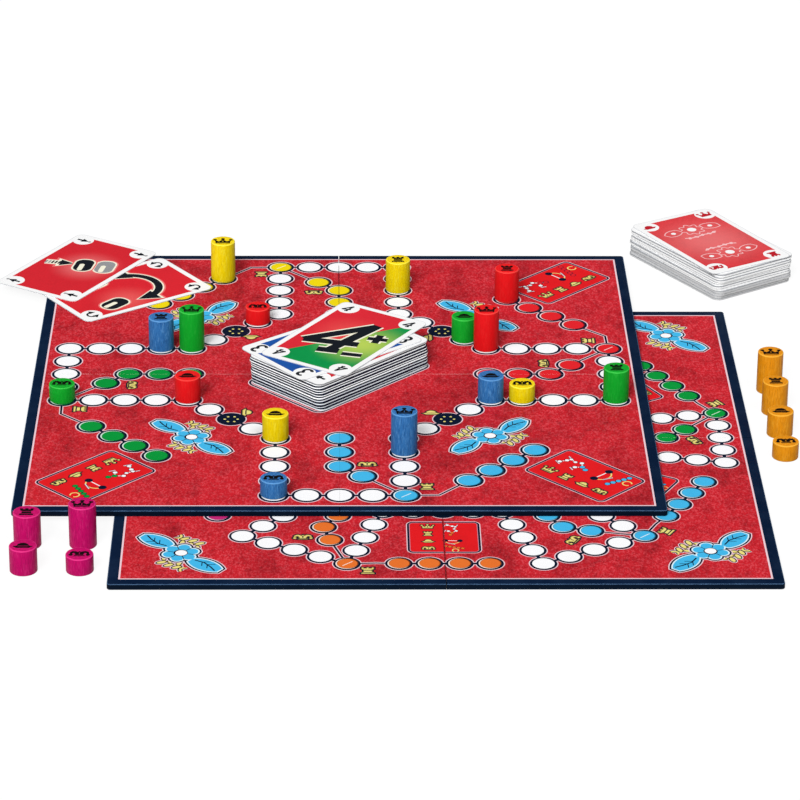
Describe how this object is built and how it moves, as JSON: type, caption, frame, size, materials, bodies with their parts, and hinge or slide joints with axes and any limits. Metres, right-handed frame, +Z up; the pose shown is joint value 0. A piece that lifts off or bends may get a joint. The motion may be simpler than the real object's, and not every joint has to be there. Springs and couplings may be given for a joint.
{
  "type": "race board game",
  "caption": "Race board game set out for play: two folding boards, one lying on the other, cylindrical wooden playing pieces of four heights, and piles of cards.",
  "frame": {"origin": "on the table, under the middle of the whole layout", "axes": "+Z up, -Y towards the near side of the boards, +X to their right"},
  "size_m": [0.496, 0.4916, 0.0319],
  "materials": {
    "greyboard": "plain grey paste board",
    "wrap_paper": "matt dark navy wrapping paper",
    "print_sheet": "matt red printed sheet",
    "card_stock": "smooth coated card",
    "wood_yellow": "dyed yellow, matt",
    "wood_red": "dyed red, matt",
    "wood_green": "dyed green, matt",
    "wood_blue": "dyed blue, matt",
    "wood_magenta": "dyed magenta, matt",
    "wood_orange": "dyed orange, matt"
  },
  "bodies": {
    "lower_back_left": {"lower_board_back_left_core": "greyboard", "lower_board_back_left_wrap": "wrap_paper", "lower_board_back_left_print": "print_sheet", "lower_board_crease_left": "wrap_paper", "lower_board_crease_back": "wrap_paper"},
    "lower_back_right": {"lower_board_back_right_core": "greyboard", "lower_board_back_right_wrap": "wrap_paper", "lower_board_back_right_print": "print_sheet", "lower_board_crease_right": "wrap_paper"},
    "lower_front_left": {"lower_board_front_left_core": "greyboard", "lower_board_front_left_wrap": "wrap_paper", "lower_board_front_left_print": "print_sheet"},
    "lower_front_right": {"lower_board_front_right_core": "greyboard", "lower_board_front_right_wrap": "wrap_paper", "lower_board_front_right_print": "print_sheet"},
    "upper_board": {"upper_board_back_left_core": "greyboard", "upper_board_back_left_print": "print_sheet", "upper_board_back_left_wrap": "wrap_paper", "upper_board_back_right_core": "greyboard", "upper_board_back_right_print": "print_sheet", "upper_board_back_right_wrap": "wrap_paper", "upper_board_creases": "wrap_paper", "upper_board_front_left_core": "greyboard", "upper_board_front_left_print": "print_sheet", "upper_board_front_left_wrap": "wrap_paper", "upper_board_front_right_core": "greyboard", "upper_board_front_right_print": "print_sheet", "upper_board_front_right_wrap": "wrap_paper"},
    "draw_pile": {"draw_pile": "card_stock"},
    "draw_top_card": {"draw_top_card": "card_stock"},
    "discard_pile": {"discard_pile": "card_stock"},
    "discard_second_card": {"discard_second_card": "card_stock"},
    "discard_top_card": {"discard_top_card": "card_stock"},
    "loose_low_card": {"loose_low_card": "card_stock"},
    "loose_high_card": {"loose_high_card": "card_stock"},
    "pawn_yellow_crown": {"pawn_yellow_crown": "wood_yellow"},
    "pawn_yellow_tower": {"pawn_yellow_tower": "wood_yellow"},
    "pawn_yellow_hat": {"pawn_yellow_hat": "wood_yellow"},
    "pawn_yellow_cap": {"pawn_yellow_cap": "wood_yellow"},
    "pawn_red_crown": {"pawn_red_crown": "wood_red"},
    "pawn_red_tower": {"pawn_red_tower": "wood_red"},
    "pawn_red_hat": {"pawn_red_hat": "wood_red"},
    "pawn_red_cap": {"pawn_red_cap": "wood_red"},
    "pawn_green_crown": {"pawn_green_crown": "wood_green"},
    "pawn_green_tower": {"pawn_green_tower": "wood_green"},
    "pawn_green_hat": {"pawn_green_hat": "wood_green"},
    "pawn_green_cap": {"pawn_green_cap": "wood_green"},
    "pawn_blue_crown": {"pawn_blue_crown": "wood_blue"},
    "pawn_blue_tower": {"pawn_blue_tower": "wood_blue"},
    "pawn_blue_hat": {"pawn_blue_hat": "wood_blue"},
    "pawn_blue_cap": {"pawn_blue_cap": "wood_blue"},
    "pawn_magenta_crown": {"pawn_magenta_crown": "wood_magenta"},
    "pawn_magenta_tower": {"pawn_magenta_tower": "wood_magenta"},
    "pawn_magenta_hat": {"pawn_magenta_hat": "wood_magenta"},
    "pawn_magenta_cap": {"pawn_magenta_cap": "wood_magenta"},
    "pawn_orange_crown": {"pawn_orange_crown": "wood_orange"},
    "pawn_orange_tower": {"pawn_orange_tower": "wood_orange"},
    "pawn_orange_hat": {"pawn_orange_hat": "wood_orange"},
    "pawn_orange_cap": {"pawn_orange_cap": "wood_orange"}
  },
  "joints": [
    {"name": "board_fold_front_left", "type": "hinge", "parent": "lower_back_left", "child": "lower_front_left", "pos_m": [0.02009, -0.06578, -0.00005], "axis": [1, 0, 0], "range_deg": [0, 180]},
    {"name": "board_fold_front_right", "type": "hinge", "parent": "lower_back_right", "child": "lower_front_right", "pos_m": [0.02009, -0.06578, -0.00005], "axis": [1, 0, 0], "range_deg": [0, 180]},
    {"name": "board_fold_right_half", "type": "hinge", "parent": "lower_back_left", "child": "lower_back_right", "pos_m": [0.02009, -0.06578, -0.00005], "axis": [0, -1, 0], "range_deg": [-180, 0]},
    {"name": "board_upper_lift", "type": "slide", "parent": "lower_back_left", "child": "upper_board", "axis": [0, 0, 1], "range_m": [0, 0.1]},
    {"name": "card_discard_pile_lift", "type": "slide", "parent": "upper_board", "child": "discard_pile", "axis": [0, 0, 1], "range_m": [0, 0.03]},
    {"name": "card_discard_second_lift", "type": "slide", "parent": "discard_pile", "child": "discard_second_card", "axis": [0, 0, 1], "range_m": [0, 0.01]},
    {"name": "card_discard_top_lift", "type": "slide", "parent": "discard_second_card", "child": "discard_top_card", "axis": [0, 0, 1], "range_m": [0, 0.01]},
    {"name": "card_draw_pile_lift", "type": "slide", "parent": "lower_back_left", "child": "draw_pile", "axis": [0, 0, 1], "range_m": [0, 0.04]},
    {"name": "card_draw_top_lift", "type": "slide", "parent": "draw_pile", "child": "draw_top_card", "axis": [0, 0, 1], "range_m": [0, 0.02]},
    {"name": "card_loose_high_lift", "type": "slide", "parent": "loose_low_card", "child": "loose_high_card", "axis": [0, 0, 1], "range_m": [0, 0.01]},
    {"name": "card_loose_low_lift", "type": "slide", "parent": "upper_board", "child": "loose_low_card", "axis": [0, 0, 1], "range_m": [0, 0.02]},
    {"name": "pawn_yellow_crown_lift", "type": "slide", "parent": "upper_board", "child": "pawn_yellow_crown", "axis": [0, 0, 1], "range_m": [0, 0.05]},
    {"name": "pawn_yellow_tower_lift", "type": "slide", "parent": "upper_board", "child": "pawn_yellow_tower", "axis": [0, 0, 1], "range_m": [0, 0.05]},
    {"name": "pawn_yellow_hat_lift", "type": "slide", "parent": "upper_board", "child": "pawn_yellow_hat", "axis": [0, 0, 1], "range_m": [0, 0.05]},
    {"name": "pawn_yellow_cap_lift", "type": "slide", "parent": "upper_board", "child": "pawn_yellow_cap", "axis": [0, 0, 1], "range_m": [0, 0.05]},
    {"name": "pawn_red_crown_lift", "type": "slide", "parent": "upper_board", "child": "pawn_red_crown", "axis": [0, 0, 1], "range_m": [0, 0.05]},
    {"name": "pawn_red_tower_lift", "type": "slide", "parent": "upper_board", "child": "pawn_red_tower", "axis": [0, 0, 1], "range_m": [0, 0.05]},
    {"name": "pawn_red_hat_lift", "type": "slide", "parent": "upper_board", "child": "pawn_red_hat", "axis": [0, 0, 1], "range_m": [0, 0.05]},
    {"name": "pawn_red_cap_lift", "type": "slide", "parent": "upper_board", "child": "pawn_red_cap", "axis": [0, 0, 1], "range_m": [0, 0.05]},
    {"name": "pawn_green_crown_lift", "type": "slide", "parent": "upper_board", "child": "pawn_green_crown", "axis": [0, 0, 1], "range_m": [0, 0.05]},
    {"name": "pawn_green_tower_lift", "type": "slide", "parent": "upper_board", "child": "pawn_green_tower", "axis": [0, 0, 1], "range_m": [0, 0.05]},
    {"name": "pawn_green_hat_lift", "type": "slide", "parent": "upper_board", "child": "pawn_green_hat", "axis": [0, 0, 1], "range_m": [0, 0.05]},
    {"name": "pawn_green_cap_lift", "type": "slide", "parent": "upper_board", "child": "pawn_green_cap", "axis": [0, 0, 1], "range_m": [0, 0.05]},
    {"name": "pawn_blue_crown_lift", "type": "slide", "parent": "upper_board", "child": "pawn_blue_crown", "axis": [0, 0, 1], "range_m": [0, 0.05]},
    {"name": "pawn_blue_tower_lift", "type": "slide", "parent": "upper_board", "child": "pawn_blue_tower", "axis": [0, 0, 1], "range_m": [0, 0.05]},
    {"name": "pawn_blue_hat_lift", "type": "slide", "parent": "upper_board", "child": "pawn_blue_hat", "axis": [0, 0, 1], "range_m": [0, 0.05]},
    {"name": "pawn_blue_cap_lift", "type": "slide", "parent": "upper_board", "child": "pawn_blue_cap", "axis": [0, 0, 1], "range_m": [0, 0.05]},
    {"name": "pawn_magenta_crown_lift", "type": "slide", "parent": "lower_back_left", "child": "pawn_magenta_crown", "axis": [0, 0, 1], "range_m": [0, 0.05]},
    {"name": "pawn_magenta_tower_lift", "type": "slide", "parent": "lower_back_left", "child": "pawn_magenta_tower", "axis": [0, 0, 1], "range_m": [0, 0.05]},
    {"name": "pawn_magenta_hat_lift", "type": "slide", "parent": "lower_back_left", "child": "pawn_magenta_hat", "axis": [0, 0, 1], "range_m": [0, 0.05]},
    {"name": "pawn_magenta_cap_lift", "type": "slide", "parent": "lower_back_left", "child": "pawn_magenta_cap", "axis": [0, 0, 1], "range_m": [0, 0.05]},
    {"name": "pawn_orange_crown_lift", "type": "slide", "parent": "lower_back_left", "child": "pawn_orange_crown", "axis": [0, 0, 1], "range_m": [0, 0.05]},
    {"name": "pawn_orange_tower_lift", "type": "slide", "parent": "lower_back_left", "child": "pawn_orange_tower", "axis": [0, 0, 1], "range_m": [0, 0.05]},
    {"name": "pawn_orange_hat_lift", "type": "slide", "parent": "lower_back_left", "child": "pawn_orange_hat", "axis": [0, 0, 1], "range_m": [0, 0.05]},
    {"name": "pawn_orange_cap_lift", "type": "slide", "parent": "lower_back_left", "child": "pawn_orange_cap", "axis": [0, 0, 1], "range_m": [0, 0.05]}
  ]
}
